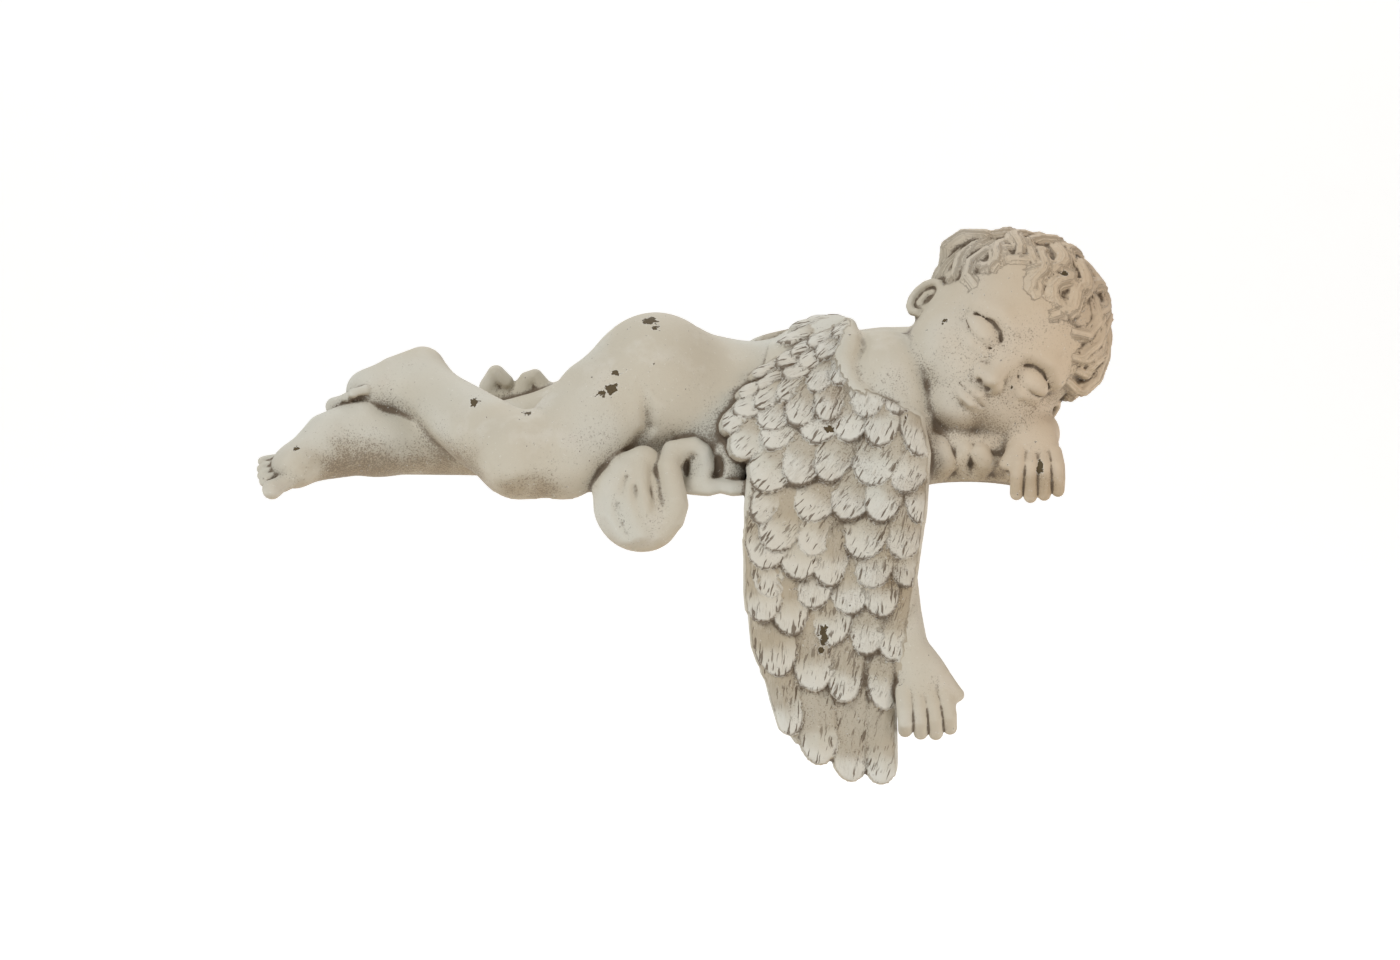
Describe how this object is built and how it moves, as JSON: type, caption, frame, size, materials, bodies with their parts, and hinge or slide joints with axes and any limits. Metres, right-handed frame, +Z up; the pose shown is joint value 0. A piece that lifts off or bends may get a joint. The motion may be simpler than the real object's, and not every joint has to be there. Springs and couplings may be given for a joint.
{
  "type": "angel figurine",
  "caption": "Sleeping winged child, cast in stone resin, that lies on a shelf's edge with its near wing and arm hanging down in front.",
  "frame": {"origin": "on the flat underside, below the waist, 45 mm behind the shelf's front face", "axes": "+X from the feet to the head, +Y from the front edge into the shelf, +Z up"},
  "size_m": [0.4303, 0.181, 0.2754],
  "materials": {
    "stone_resin": "matt cast stone effect, aged with a grey-brown wash in the hollows"
  },
  "bodies": {
    "root": {"sleeping_angel": "stone_resin"}
  },
  "joints": []
}
